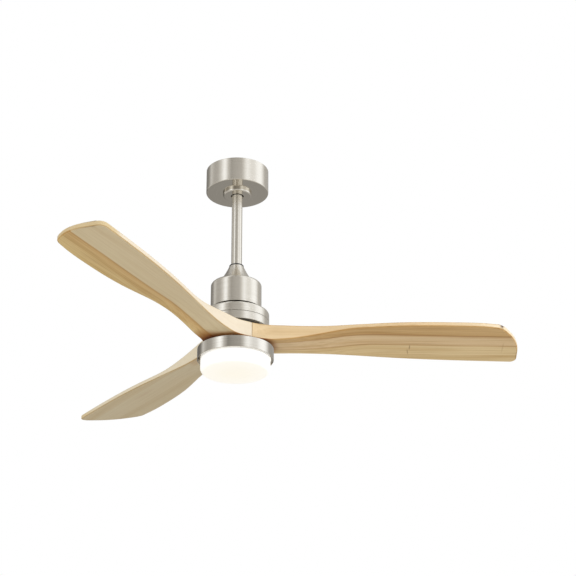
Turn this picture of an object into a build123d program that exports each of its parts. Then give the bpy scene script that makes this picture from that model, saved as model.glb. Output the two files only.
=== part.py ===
from build123d import *
from math import cos, radians, sin
import os

# Sizes are in millimetres. The origin is the centre of the ceiling plane and +Z points up,
# so the whole fan hangs at negative heights.

# Gaps between neighbouring pieces
running_gap = 0.05
free_gap = 0.3
# Half length of a cut that passes right through a piece
cut_reach = 40.0

# Bracket on the ceiling
bracket_length = 110.0
bracket_width = 67.0
bracket_sheet = 2.5
bracket_corner = 6.0
slot_spacing = 80.0
slot_length = 22.0
slot_width = 6.5
seat_low = -46.0
seat_high = -36.0
seat_outer_radius = 30.0
seat_mouth_width = 27.0
seat_lap = 4.0
leg_half_width = 14.0
tab_low = -39.0
tab_inset = 3.0
tab_clearance = 0.6
boss_radius = 5.0
boss_hole_top = -40.0

# Screws that hold the canopy on the bracket
canopy_screw_circle = 26.0
canopy_screw_radius = 2.0
canopy_screw_hole_radius = 2.3
canopy_screw_top = -42.0
canopy_head_radius = 3.6
canopy_head_height = 2.4
canopy_head_round = 1.2

# Ball at the top of the rod
ball_centre = -30.0
ball_radius = 24.0
ball_top = -25.0
ball_groove_width = 5.0
ball_groove_depth = 4.0
hanger_pin_height = -34.0
hanger_pin_radius = 2.5
hanger_pin_length = 42.0
hanger_pin_chamfer = 0.6
ball_screw_inset = 1.0
hex_socket_radius = 1.2
hex_socket_depth = 3.0

# Canopy and its cover
canopy_radius = 75.0
canopy_bottom = -58.5
canopy_wall = 1.2
canopy_edge_radius = 2.0
canopy_hole_radius = 18.0
cover_radius = 34.5
cover_bottom = -66.0
cover_wall = 1.0
cover_hole_radius = 16.5
cover_edge_radius = 1.0

# Receiver box inside the canopy
receiver_length = 96.0
receiver_width = 48.0
receiver_depth = 18.0
receiver_corner = 4.0
receiver_edge_radius = 1.5

# Rod
rod_radius = 12.7
rod_bore_radius = 10.5
rod_top = -26.0
rod_bottom = -288.0

# Coupling between rod and motor
coupling_top = -264.0
coupling_radius = 17.0
coupling_floor = -290.0
coupling_flange_radius = 36.0
coupling_flange_thickness = 5.5
coupling_neck_radius = 15.0
coupling_bottom = -312.0
clevis_height = -281.0
clevis_radius = 2.5
clevis_half_length = 22.0
clevis_head_radius = 4.6
clevis_head_thickness = 2.5
clip_offset = 19.0
clip_wire_radius = 0.8
clip_bend = 3.6
clip_rise = 7.0
clip_drop = 8.0
clip_short_leg = 2.0
set_screw_height = -271.0
set_screw_radius = 2.5
set_screw_proud = 1.5

# Cone above the motor housing
cone_top = -254.0
cone_top_radius = 16.8
cone_middle = -275.5
cone_middle_radius = 27.2
cone_bottom_radius = 43.0
cone_wall = 1.2
cone_slant_wall = 1.4
cone_foot_wall = 1.6
cone_hole_radius = 14.0
cone_rim_radius = 0.8

# Upper motor housing, which stands still
housing_radius = 59.5
housing_top = -299.0
housing_bottom = -366.0
housing_wall = 1.5
housing_shoulder = 7.5
housing_screw_circle = 28.0
housing_screw_radius = 1.6
housing_screw_hole_radius = 1.8
housing_head_radius = 3.0
housing_head_height = 2.0
housing_head_round = 1.0
base_plate_inset = 1.0
base_plate_sheet = 1.5

# Driver electronics inside the housing
driver_board_top = -330.0
driver_board_radius = 50.0
driver_board_hole = 20.0
driver_post_radius = 3.0
board_thickness = 1.6
capacitor_places = [(36.0, 20.0), (36.0, 50.0)]
capacitor_radius = 6.5
capacitor_height = 20.0
choke_place = (37.0, 95.0)
choke_radius = 8.5
choke_hole_radius = 3.5
choke_height = 12.0
heat_sink_corners = [(-44.0, -12.0), (-30.0, 12.0)]
heat_sink_height = 16.0
plug_corners = [(-8.0, -44.0), (12.0, -32.0)]
plug_height = 9.0

# Motor shaft and bearings
shaft_radius = 8.5
shaft_bore_radius = 6.5
shaft_seat_radius = 12.0
shaft_top = -291.0
shaft_bottom = -476.0
bearing_outer_radius = 17.5
bearing_width = 10.0
bearing_pitch_radius = 13.0
bearing_ball_radius = 2.5
bearing_ball_count = 8
bearing_ring_wall = 2.9
bearing_groove_play = 0.15
cage_half_thickness = 0.7
cage_half_width = 1.2
upper_bearing_top = -377.0
lower_bearing_top = -403.5

# Rotor, the outside of the motor
rotor_radius = 77.5
rotor_top = -374.0
rotor_seam = -397.6
rotor_bottom = -416.5
rotor_wall = 2.5
rotor_shoulder = 6.0
rotor_hole_radius = 11.5
rotor_boss_radius = 21.0
rotor_foot_radius = 1.5
seam_chamfer = 0.8

# Magnets and stator
magnet_count = 16
magnet_inner_radius = 67.0
magnet_outer_radius = 71.5
magnet_low = -405.0
magnet_high = -385.0
magnet_spacing_angle = 2.0
pole_count = 12
pole_width = 8.0
core_low = -401.0
core_high = -389.0
core_hub_radius = 30.0
core_radius = 66.3
shoe_inner_radius = 58.0
shoe_angle = 25.0
shoe_lap = 1.5
coil_inner_radius = 34.0
coil_outer_radius = 55.0
coil_width = 16.0
coil_height = 21.0
coil_corner = 2.5

# Plates that hold the blades
mount_plate_radius = 66.0
mount_plate_bottom = -420.0
mount_screw_circle = 48.0
mount_screw_radius = 2.0
mount_screw_hole_radius = 2.2
mount_screw_reach = 1.5
mount_head_radius = 3.8
mount_head_seat_radius = 4.0
mount_head_height = 1.8
mount_head_seat_depth = 2.0
clamp_plate_radius = 64.0
clamp_plate_bottom = -459.6
plate_gap = 0.2
plate_hole_radius = 16.0

# Wooden blades. Each station is (distance from the axis, lowered edge, raised edge),
# and the edges are measured sideways from the blade's own centre line.
blade_count = 3
first_blade_azimuth = 1.0
block_top = -420.2
block_bottom = -457.5
tip_top = -421.0
tip_bottom = -454.7
tip_thickness = 11.0
twist_start = 72.0
twist_end = 285.0
root_seam_angle = 59.85
root_seam_radius = 72.0
root_hole_radius = 22.0
ribbon_half_width = 115.0
ribbon_start = 2.0
ribbon_step = 38.0
ribbon_count = 19
blade_stations = [
    (72.0, 43.5, -49.0),
    (112.0, 39.5, -47.2),
    (152.0, 39.5, -46.6),
    (200.0, 42.8, -49.6),
    (280.0, 51.8, -64.0),
    (380.0, 63.3, -80.0),
    (480.0, 70.3, -84.9),
    (580.0, 73.8, -81.4),
]
tip_lowered_corner = [(651.0, 75.2), (666.0, 58.5)]
tip_curve = [(657.5, 1.5), (633.5, -48.0), (600.5, -78.4)]
lowered_end_way = (1.0, 0.02)
tip_end_way = (-1.0, -0.2)
raised_start_way = (-1.0, -0.14)
way_lengths = [1.0, 1.0]
outline_margin = 20.0
blade_screw_places = [(40.0, 0.0), (55.0, 24.0), (55.0, -24.0)]
blade_screw_radius = 2.5
blade_head_radius = 4.5
blade_head_height = 2.2
blade_head_round = 1.2

# Light below the blades
pan_radius = 88.3
pan_top = -463.5
pan_bottom = -491.3
pan_sheet = 1.5
pan_wall = 1.8
pan_edge_radius = 1.2
ledge_inner_radius = 82.0
ledge_low = -489.3
ledge_high = -487.0
ledge_angle = 26.0
lug_count = 3
lug_angle = 22.0
lug_radius = 84.3
lug_low = -486.5
lug_root = 1.0
ledge_root = 0.3
stop_angle = 3.0
diffuser_radius = 80.6
diffuser_top = -484.0
diffuser_bottom = -521.5
diffuser_corner = 10.0
diffuser_wall = 2.5
light_collar_radius = 14.0
light_collar_top = -455.0
nut_across_flats = 24.0
nut_bottom = -472.0
led_board_radius = 72.0
led_board_top = -480.0
led_board_hole = 16.0
led_post_circle = 55.0
led_post_radius = 3.5
led_screw_radius = 1.5
led_screw_hole_depth = 8.0
led_screw_reach = 6.0
led_head_radius = 3.0
led_head_height = 1.8
led_rings = [(34.0, 12), (62.0, 20)]
led_chip_size = (2.8, 3.5, 0.8)
led_driver_size = (52.0, 26.0, 12.0)
led_driver_offset = 46.0
led_driver_corner = 3.0

# Wires through the rod and the hollow shaft
wire_radius = 0.9
wire_circle = 5.3
wire_count = 4
wire_top = -23.0
wire_stop = 2.0

os.makedirs("parts", exist_ok=True)


def save(piece, label):
    piece.part.label = label
    export_step(piece.part, f"parts/{label}.step")


def polar(radius, azimuth):
    return (radius * cos(radians(azimuth)), radius * sin(radians(azimuth)))


def around(radius, count, start=0.0):
    return [polar(radius, start + 360.0 * step / count) for step in range(count)]


def add_ring(inner, outer, low, high, mode=Mode.ADD):
    with BuildSketch(Plane.XY.offset(low)) as section:
        Circle(outer)
        if inner > 0:
            Circle(inner, mode=Mode.SUBTRACT)
    extrude(section.sketch, amount=high - low, mode=mode)


def add_turned(outline, mode=Mode.ADD):
    # A body of revolution from a closed outline of (radius, height) corners.
    with BuildSketch(Plane.XZ) as section:
        with BuildLine():
            Polyline(*outline, close=True)
        make_face()
    revolve(section.sketch, axis=Axis.Z, mode=mode)


def add_posts(places, radius, low, high, mode=Mode.ADD):
    with BuildSketch(Plane.XY.offset(low)) as section:
        with Locations(*places):
            Circle(radius)
    extrude(section.sketch, amount=high - low, mode=mode)


def add_box(low_corner, high_corner, mode=Mode.ADD):
    size = [high - low for low, high in zip(low_corner, high_corner)]
    middle = [(high + low) / 2 for low, high in zip(low_corner, high_corner)]
    with Locations(tuple(middle)):
        Box(*size, mode=mode)


def add_cross_pin(plane, radius, start, end, mode=Mode.ADD):
    # A round bar square to the given plane, from one distance to another.
    with BuildSketch(plane.offset(start)) as section:
        Circle(radius)
    extrude(section.sketch, amount=end - start, mode=mode)


def add_sector(inner, outer, angle, azimuth, low, high, mode=Mode.ADD):
    # A piece of a ring that spans an angle, centred on an azimuth.
    first = azimuth - angle / 2
    with BuildSketch(Plane.XY.offset(low)) as section:
        with BuildLine():
            CenterArc((0, 0), inner, first, angle)
            CenterArc((0, 0), outer, first, angle)
            Line(polar(inner, first), polar(outer, first))
            Line(polar(inner, first + angle), polar(outer, first + angle))
        make_face()
    extrude(section.sketch, amount=high - low, mode=mode)


# Mounting bracket: a slotted ceiling plate with two legs that carry the ball's seat.
# The seat is open towards +X so the ball slides in, and a tab on -X keeps it from turning.
leg_outer = bracket_width / 2
canopy_floor = canopy_bottom + canopy_wall
with BuildPart() as mounting_bracket:
    with BuildSketch(Plane.XY.offset(-bracket_sheet)):
        RectangleRounded(bracket_length, bracket_width, bracket_corner)
        with GridLocations(slot_spacing, 0, 2, 1):
            SlotOverall(slot_length, slot_width, mode=Mode.SUBTRACT)
    extrude(amount=bracket_sheet)
    for side in (-1, 1):
        outer_face = side * leg_outer
        inner_face = side * (leg_outer - bracket_sheet)
        near, far = sorted((outer_face, inner_face))
        add_box((-leg_half_width, near, seat_low), (leg_half_width, far, -bracket_sheet))
        near, far = sorted((inner_face, side * (seat_outer_radius - seat_lap)))
        add_box((-leg_half_width, near, seat_low), (leg_half_width, far, seat_high))
    add_ring(0, seat_outer_radius, seat_low, seat_high)
    with Locations((0, 0, ball_centre)):
        Sphere(ball_radius + free_gap, mode=Mode.SUBTRACT)
    half_mouth = seat_mouth_width / 2
    add_box((0, -half_mouth, seat_low), (cut_reach, half_mouth, seat_high), Mode.SUBTRACT)
    tab_half_width = ball_groove_width / 2 - free_gap
    tab_root = -seat_outer_radius + tab_inset
    tab_tip = -(ball_radius - ball_groove_depth + tab_clearance)
    add_box((tab_root, -tab_half_width, tab_low), (tab_tip, tab_half_width, seat_high))
    screw_places = [(0, canopy_screw_circle), (0, -canopy_screw_circle)]
    add_posts(screw_places, boss_radius, canopy_floor, seat_low)
    add_posts(screw_places, canopy_screw_radius + running_gap, canopy_floor, boss_hole_top, Mode.SUBTRACT)
save(mounting_bracket, "mounting_bracket")

# Receiver: a closed plastic box held against the underside of the plate.
with BuildPart() as receiver_box:
    with BuildSketch(Plane.XY.offset(-bracket_sheet - receiver_depth)):
        RectangleRounded(receiver_length, receiver_width, receiver_corner)
    extrude(amount=receiver_depth)
    fillet(receiver_box.faces().sort_by(Axis.Z)[0].edges(), receiver_edge_radius)
save(receiver_box, "receiver_box")

# Canopy: a cup with a rounded lower rim and a hole for the rod.
with BuildPart() as canopy:
    add_ring(0, canopy_radius, canopy_bottom, 0)
    fillet(canopy.faces().sort_by(Axis.Z)[0].edges(), canopy_edge_radius)
    add_ring(0, canopy_radius - canopy_wall, canopy_floor, 0, Mode.SUBTRACT)
    add_ring(0, canopy_hole_radius, canopy_bottom, canopy_floor, Mode.SUBTRACT)
    add_posts(screw_places, canopy_screw_hole_radius, canopy_bottom, canopy_floor, Mode.SUBTRACT)
save(canopy, "canopy")

# Canopy screws with round heads, hidden by the cover.
with BuildPart() as canopy_screws:
    add_posts(screw_places, canopy_head_radius, canopy_bottom - canopy_head_height, canopy_bottom)
    fillet(canopy_screws.edges().group_by(Axis.Z)[0], canopy_head_round)
    add_posts(screw_places, canopy_screw_radius, canopy_bottom, canopy_screw_top)
save(canopy_screws, "canopy_screws")

# Canopy cover: a shallow cup under the canopy with a hole round the rod.
with BuildPart() as canopy_cover:
    add_ring(0, cover_radius, cover_bottom, canopy_bottom)
    fillet(canopy_cover.faces().sort_by(Axis.Z)[0].edges(), cover_edge_radius)
    add_ring(0, cover_radius - cover_wall, cover_bottom + cover_wall, canopy_bottom, Mode.SUBTRACT)
    add_ring(0, cover_hole_radius, cover_bottom, cover_bottom + cover_wall, Mode.SUBTRACT)
save(canopy_cover, "canopy_cover")

# Hanger ball: the lower part of a sphere with a short rim, bored for the rod and the pin.
with BuildPart() as hanger_ball:
    with Locations((0, 0, ball_centre)):
        Sphere(ball_radius)
    add_ring(0, cut_reach, ball_centre, ball_centre + cut_reach, Mode.SUBTRACT)
    add_ring(0, ball_radius, ball_centre, ball_top)
    cut_low = ball_centre - cut_reach
    add_ring(0, rod_radius + running_gap, cut_low, ball_top, Mode.SUBTRACT)
    groove_floor = -(ball_radius - ball_groove_depth)
    half_groove = ball_groove_width / 2
    add_box((-cut_reach, -half_groove, cut_low), (groove_floor, half_groove, ball_top), Mode.SUBTRACT)
    pin_plane = Plane.XZ.shift_origin((0, 0, hanger_pin_height))
    add_cross_pin(pin_plane, hanger_pin_radius + running_gap, -cut_reach, cut_reach, Mode.SUBTRACT)
    screw_plane = Plane.YZ.shift_origin((0, 0, ball_centre))
    add_cross_pin(screw_plane, set_screw_radius + running_gap, rod_radius, cut_reach, Mode.SUBTRACT)
save(hanger_ball, "hanger_ball")

# Pin that carries the rod on the ball.
with BuildPart() as hanger_pin:
    pin_half = hanger_pin_length / 2
    add_cross_pin(pin_plane, hanger_pin_radius, -pin_half, pin_half)
    chamfer(hanger_pin.edges().filter_by(GeomType.CIRCLE), hanger_pin_chamfer)
save(hanger_pin, "hanger_pin")

# Set screw that locks the ball to the rod.
with BuildPart() as ball_set_screw:
    screw_end = ball_radius - ball_screw_inset
    add_cross_pin(screw_plane, set_screw_radius, rod_radius + running_gap, screw_end)
    add_cross_pin(screw_plane, hex_socket_radius, screw_end - hex_socket_depth, screw_end, Mode.SUBTRACT)
save(ball_set_screw, "ball_set_screw")

# Rod: a tube cross-drilled for the pin at its top and the clevis pin at its foot.
clevis_plane = Plane.YZ.shift_origin((0, 0, clevis_height))
with BuildPart() as downrod:
    add_ring(rod_bore_radius, rod_radius, rod_bottom, rod_top)
    add_cross_pin(pin_plane, hanger_pin_radius + running_gap, -cut_reach, cut_reach, Mode.SUBTRACT)
    add_cross_pin(clevis_plane, clevis_radius + running_gap, -cut_reach, cut_reach, Mode.SUBTRACT)
save(downrod, "downrod")

# Coupling: a collar for the rod, a flange for the housing and a neck for the shaft.
flange_top = housing_top - housing_wall
flange_bottom = flange_top - coupling_flange_thickness
housing_screw_places = around(housing_screw_circle, 3, 30)
driver_post_places = around(housing_screw_circle, 3, 90)
with BuildPart() as motor_coupling:
    add_turned([
        (shaft_radius + running_gap, coupling_bottom),
        (coupling_neck_radius, coupling_bottom),
        (coupling_neck_radius, flange_bottom),
        (coupling_flange_radius, flange_bottom),
        (coupling_flange_radius, flange_top),
        (coupling_radius, flange_top),
        (coupling_radius, coupling_top),
        (rod_radius + running_gap, coupling_top),
        (rod_radius + running_gap, coupling_floor),
        (shaft_radius + running_gap, coupling_floor),
    ])
    add_cross_pin(clevis_plane, clevis_radius + running_gap, -cut_reach, cut_reach, Mode.SUBTRACT)
    set_screw_plane = Plane.XZ.shift_origin((0, 0, set_screw_height))
    add_cross_pin(set_screw_plane, set_screw_radius + running_gap, -cut_reach, cut_reach, Mode.SUBTRACT)
    tapped_radius = housing_screw_radius + running_gap
    add_posts(housing_screw_places, tapped_radius, flange_bottom, flange_top, Mode.SUBTRACT)
save(motor_coupling, "motor_coupling")

# Clevis pin with a flat head, drilled for its clip.
with BuildPart() as clevis_pin:
    add_cross_pin(clevis_plane, clevis_radius, -coupling_radius, clevis_half_length)
    head_start = -coupling_radius - clevis_head_thickness
    add_cross_pin(clevis_plane, clevis_head_radius, head_start, -coupling_radius)
    clip_hole_low = clevis_height - cut_reach
    clip_hole_high = clevis_height + cut_reach
    clip_hole_radius = clip_wire_radius + running_gap
    add_posts([(clip_offset, 0)], clip_hole_radius, clip_hole_low, clip_hole_high, Mode.SUBTRACT)
save(clevis_pin, "clevis_pin")

# Cotter clip: one leg through the clevis pin, bent back beside it.
clip_top = clevis_height + clip_rise
clip_low = clevis_height - clip_drop
with BuildPart() as cotter_clip:
    with BuildLine(Plane.YZ.offset(clip_offset)):
        Line((0, clip_top), (0, clip_low))
        RadiusArc((0, clip_low), (2 * clip_bend, clip_low), -clip_bend)
        Line((2 * clip_bend, clip_low), (2 * clip_bend, clip_top - clip_short_leg))
    with BuildSketch(Plane.XY.offset(clip_top).shift_origin((clip_offset, 0, clip_top))):
        Circle(clip_wire_radius)
    sweep()
save(cotter_clip, "cotter_clip")

# Set screws that steady the rod in the coupling.
with BuildPart() as coupling_set_screws:
    for side in (-1, 1):
        ends = (side * (rod_radius + running_gap), side * (coupling_radius + set_screw_proud))
        start, end = sorted(ends)
        add_cross_pin(set_screw_plane, set_screw_radius, start, end)
save(coupling_set_screws, "coupling_set_screws")

# Cone over the coupling, thin and slightly hollow-sided, resting on the housing.
with BuildPart() as yoke_cover:
    foot_inside = cone_bottom_radius - cone_foot_wall
    top_inside = cone_hole_radius + cone_slant_wall
    with BuildSketch(Plane.XZ):
        with BuildLine():
            Line((cone_hole_radius, cone_top), (cone_top_radius, cone_top))
            ThreePointArc(
                (cone_top_radius, cone_top),
                (cone_middle_radius, cone_middle),
                (cone_bottom_radius, housing_top),
            )
            Line((cone_bottom_radius, housing_top), (foot_inside, housing_top))
            ThreePointArc(
                (foot_inside, housing_top),
                (cone_middle_radius - cone_slant_wall, cone_middle),
                (top_inside, cone_top - cone_wall),
            )
            Line((top_inside, cone_top - cone_wall), (cone_hole_radius, cone_top - cone_wall))
            Line((cone_hole_radius, cone_top - cone_wall), (cone_hole_radius, cone_top))
        make_face()
    revolve(axis=Axis.Z)
    top_edges = yoke_cover.edges().filter_by(GeomType.CIRCLE).group_by(Axis.Z)[-1]
    fillet(top_edges.sort_by(SortBy.RADIUS)[-1], cone_rim_radius)
save(yoke_cover, "yoke_cover")

# Upper motor housing: a cup with a rounded shoulder, open below.
with BuildPart() as motor_housing:
    add_ring(0, housing_radius, housing_bottom, housing_top)
    fillet(motor_housing.faces().sort_by(Axis.Z)[-1].edges(), housing_shoulder)
    inner_radius = housing_radius - housing_wall
    with BuildSketch(Plane.XY.offset(housing_bottom)):
        Circle(inner_radius)
    extrude(amount=flange_top - housing_shoulder - housing_bottom, mode=Mode.SUBTRACT)
    with BuildSketch(Plane.XY.offset(flange_top - housing_shoulder)):
        Circle(inner_radius - housing_shoulder)
    extrude(amount=housing_shoulder, mode=Mode.SUBTRACT)
    add_ring(0, coupling_radius + free_gap, flange_top, housing_top, Mode.SUBTRACT)
    add_posts(housing_screw_places, housing_screw_hole_radius, flange_top, housing_top, Mode.SUBTRACT)
save(motor_housing, "motor_housing")

# Screws that hold the housing on the flange, hidden under the cone.
with BuildPart() as housing_screws:
    add_posts(housing_screw_places, housing_head_radius, housing_top, housing_top + housing_head_height)
    fillet(housing_screws.edges().group_by(Axis.Z)[-1], housing_head_round)
    add_posts(housing_screw_places, housing_screw_radius, flange_bottom, housing_top)
save(housing_screws, "housing_screws")

# Plate that closes the housing from below.
with BuildPart() as housing_base_plate:
    plate_low = housing_bottom + base_plate_inset
    plate_radius = inner_radius - running_gap
    add_ring(shaft_seat_radius + base_plate_inset, plate_radius, plate_low, plate_low + base_plate_sheet)
save(housing_base_plate, "housing_base_plate")

# Driver board on posts under the flange.
with BuildPart() as driver_standoffs:
    add_posts(driver_post_places, driver_post_radius, driver_board_top, flange_bottom)
save(driver_standoffs, "driver_standoffs")

driver_board_bottom = driver_board_top - board_thickness
with BuildPart() as driver_board:
    add_ring(driver_board_hole, driver_board_radius, driver_board_bottom, driver_board_top)
save(driver_board, "driver_board")

# Capacitors, choke, heat sink and plug on the driver board.
with BuildPart() as driver_components:
    board = driver_board_bottom
    capacitors = [polar(*place) for place in capacitor_places]
    add_posts(capacitors, capacitor_radius, board - capacitor_height, board)
    choke = [polar(*choke_place)]
    add_posts(choke, choke_radius, board - choke_height, board)
    add_posts(choke, choke_hole_radius, board - choke_height, board, Mode.SUBTRACT)
    for corners, height in ((heat_sink_corners, heat_sink_height), (plug_corners, plug_height)):
        low_corner, high_corner = corners
        add_box((*low_corner, board - height), (*high_corner, board))
save(driver_components, "driver_components")

# Hollow motor shaft with a wider seat for the stator.
seat_top = upper_bearing_top - bearing_width
seat_bottom = lower_bearing_top
with BuildPart() as motor_shaft:
    add_turned([
        (shaft_bore_radius, shaft_bottom),
        (shaft_radius, shaft_bottom),
        (shaft_radius, seat_bottom),
        (shaft_seat_radius, seat_bottom),
        (shaft_seat_radius, seat_top),
        (shaft_radius, seat_top),
        (shaft_radius, shaft_top),
        (shaft_bore_radius, shaft_top),
    ])
save(motor_shaft, "motor_shaft")

# Stator core: a hub with pole teeth that end in curved shoes.
core_thickness = core_high - core_low
with BuildPart() as stator_core:
    add_ring(shaft_seat_radius + running_gap, core_hub_radius, core_low, core_high)
    with BuildSketch(Plane.XY.offset(core_low)):
        with PolarLocations((core_hub_radius + shoe_inner_radius) / 2, pole_count):
            Rectangle(shoe_inner_radius - core_hub_radius + 2 * shoe_lap, pole_width)
    extrude(amount=core_thickness)
    for pole in range(pole_count):
        azimuth = 360.0 * pole / pole_count
        add_sector(shoe_inner_radius, core_radius, shoe_angle, azimuth, core_low, core_high)
save(stator_core, "stator_core")

# One coil round each tooth.
coil_middle = (core_low + core_high) / 2
coil_length = coil_outer_radius - coil_inner_radius
with BuildPart() as stator_windings:
    with BuildSketch(Plane.XY.offset(coil_middle - coil_height / 2)):
        with PolarLocations((coil_inner_radius + coil_outer_radius) / 2, pole_count):
            RectangleRounded(coil_length, coil_width, coil_corner)
    extrude(amount=coil_height)
    with BuildSketch(Plane.XY.offset(core_low - running_gap)):
        with PolarLocations((coil_inner_radius + coil_outer_radius) / 2, pole_count):
            Rectangle(coil_length + 2 * coil_corner, pole_width + 2 * running_gap)
    extrude(amount=core_thickness + 2 * running_gap, mode=Mode.SUBTRACT)
save(stator_windings, "stator_windings")


def build_bearing(name, top):
    # A ball bearing: two grooved rings, and the balls held together by a thin cage.
    bottom = top - bearing_width
    middle = (top + bottom) / 2
    groove_radius = bearing_ball_radius + bearing_groove_play
    rings = {
        "inner": (shaft_radius, shaft_radius + bearing_ring_wall),
        "outer": (bearing_outer_radius - bearing_ring_wall, bearing_outer_radius),
    }
    for side, (near, far) in rings.items():
        with BuildPart() as ring:
            add_ring(near, far, bottom, top)
            with BuildSketch(Plane.XZ):
                with Locations((bearing_pitch_radius, middle)):
                    Circle(groove_radius)
            revolve(axis=Axis.Z, mode=Mode.SUBTRACT)
        save(ring, f"{name}_bearing_{side}_ring")
    with BuildPart() as balls:
        cage_inner = bearing_pitch_radius - cage_half_thickness
        cage_outer = bearing_pitch_radius + cage_half_thickness
        add_ring(cage_inner, cage_outer, middle - cage_half_width, middle + cage_half_width)
        with Locations((0, 0, middle)):
            with PolarLocations(bearing_pitch_radius, bearing_ball_count):
                Sphere(bearing_ball_radius)
    save(balls, f"{name}_bearing_balls")


build_bearing("upper", upper_bearing_top)
build_bearing("lower", lower_bearing_top)

# Upper half of the rotor: the rounded top of the motor with the upper bearing's boss.
boss_inner = bearing_outer_radius + running_gap / 2
with BuildPart() as rotor_upper_shell:
    add_ring(0, rotor_radius, rotor_seam, rotor_top)
    fillet(rotor_upper_shell.faces().sort_by(Axis.Z)[-1].edges(), rotor_shoulder)
    chamfer(rotor_upper_shell.faces().sort_by(Axis.Z)[0].edges(), seam_chamfer)
    add_ring(0, rotor_radius - rotor_wall, rotor_seam, rotor_top - rotor_shoulder, Mode.SUBTRACT)
    inner_top = rotor_top - rotor_wall
    add_ring(0, rotor_radius - rotor_shoulder, rotor_seam, inner_top, Mode.SUBTRACT)
    add_ring(boss_inner, rotor_boss_radius, seat_top, inner_top)
    add_ring(0, rotor_hole_radius, inner_top, rotor_top, Mode.SUBTRACT)
    add_ring(0, boss_inner, upper_bearing_top, inner_top, Mode.SUBTRACT)
save(rotor_upper_shell, "rotor_upper_shell")

# Lower half of the rotor, with the lower bearing's boss and a flat foot for the blade plate.
mount_screw_places = around(mount_screw_circle, 6, 30)
mount_thread_radius = mount_screw_radius + running_gap
lower_floor = rotor_bottom + rotor_wall
with BuildPart() as rotor_lower_shell:
    add_ring(0, rotor_radius, rotor_bottom, rotor_seam)
    chamfer(rotor_lower_shell.faces().sort_by(Axis.Z)[-1].edges(), seam_chamfer)
    fillet(rotor_lower_shell.faces().sort_by(Axis.Z)[0].edges(), rotor_foot_radius)
    add_ring(0, rotor_radius - rotor_wall, lower_floor, rotor_seam, Mode.SUBTRACT)
    add_ring(boss_inner, rotor_boss_radius, lower_floor, lower_bearing_top)
    add_ring(0, rotor_hole_radius, rotor_bottom, lower_floor, Mode.SUBTRACT)
    add_ring(0, boss_inner, lower_bearing_top - bearing_width, lower_floor, Mode.SUBTRACT)
    add_posts(mount_screw_places, mount_thread_radius, rotor_bottom, lower_floor, Mode.SUBTRACT)
save(rotor_lower_shell, "rotor_lower_shell")

# Steel ring behind the magnets, pressed into the shell, and the magnets themselves.
with BuildPart() as rotor_back_iron:
    back_iron_radius = rotor_radius - rotor_wall - running_gap
    add_ring(magnet_outer_radius + running_gap, back_iron_radius, magnet_low, magnet_high)
save(rotor_back_iron, "rotor_back_iron")

magnet_angle = 360.0 / magnet_count - magnet_spacing_angle
with BuildPart() as rotor_magnets:
    for magnet in range(magnet_count):
        azimuth = 360.0 * magnet / magnet_count
        add_sector(magnet_inner_radius, magnet_outer_radius, magnet_angle, azimuth, magnet_low, magnet_high)
save(rotor_magnets, "rotor_magnets")

# Blade places, one azimuth for each blade.
blade_azimuths = [first_blade_azimuth + 360.0 * step / blade_count for step in range(blade_count)]


def in_blade(place, azimuth):
    # A point given along and across a blade, turned to where that blade points.
    along, across = place
    turn = radians(azimuth)
    return (along * cos(turn) - across * sin(turn), along * sin(turn) + across * cos(turn))


all_blade_screws = [
    in_blade(place, azimuth) for azimuth in blade_azimuths for place in blade_screw_places
]

# Plate under the motor that the blades hang from, and its screws.
blade_screw_hole = blade_screw_radius + running_gap
head_seat = mount_plate_bottom + mount_head_seat_depth
with BuildPart() as blade_mount_plate:
    add_ring(plate_hole_radius, mount_plate_radius, mount_plate_bottom, rotor_bottom)
    add_posts(mount_screw_places, mount_screw_hole_radius, mount_plate_bottom, rotor_bottom, Mode.SUBTRACT)
    add_posts(mount_screw_places, mount_head_seat_radius, mount_plate_bottom, head_seat, Mode.SUBTRACT)
    add_posts(all_blade_screws, blade_screw_hole, mount_plate_bottom, rotor_bottom, Mode.SUBTRACT)
save(blade_mount_plate, "blade_mount_plate")

with BuildPart() as mount_plate_screws:
    add_posts(mount_screw_places, mount_head_radius, head_seat - mount_head_height, head_seat)
    add_posts(mount_screw_places, mount_screw_radius, head_seat, lower_floor + mount_screw_reach)
save(mount_plate_screws, "mount_plate_screws")


def twist_share(distance):
    # 0 at the square root block, 1 where the blade has its full pitch, eased between.
    share = min(max((distance - twist_start) / (twist_end - twist_start), 0.0), 1.0)
    return share * share * (3 - 2 * share)


def blend(first, second, share):
    return first + (second - first) * share


def edges_at(distance):
    # Sideways places of the lowered and the raised edge at one distance from the axis.
    first, last = blade_stations[0], blade_stations[-1]
    place = min(max(distance, first[0]), last[0])
    for near, far in zip(blade_stations, blade_stations[1:]):
        if place <= far[0]:
            share = (place - near[0]) / (far[0] - near[0])
            return blend(near[1], far[1], share), blend(near[2], far[2], share)


def ribbon_section(distance):
    # Corners of the section at one distance: the raised edge keeps the top of the plank,
    # the lowered edge keeps its underside, and both faces run straight between them.
    lowered, raised = edges_at(distance)
    share = twist_share(distance)
    thickness = blend(block_top - block_bottom, tip_thickness, share)
    top_at_raised = blend(block_top, tip_top, share)
    top_at_lowered = blend(block_bottom, tip_bottom, share) + thickness
    slope = (top_at_lowered - top_at_raised) / (lowered - raised)
    left = top_at_raised + slope * (-ribbon_half_width - raised)
    right = top_at_raised + slope * (ribbon_half_width - raised)
    return [
        (-ribbon_half_width, left - thickness),
        (ribbon_half_width, right - thickness),
        (ribbon_half_width, right),
        (-ribbon_half_width, left),
    ]


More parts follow.
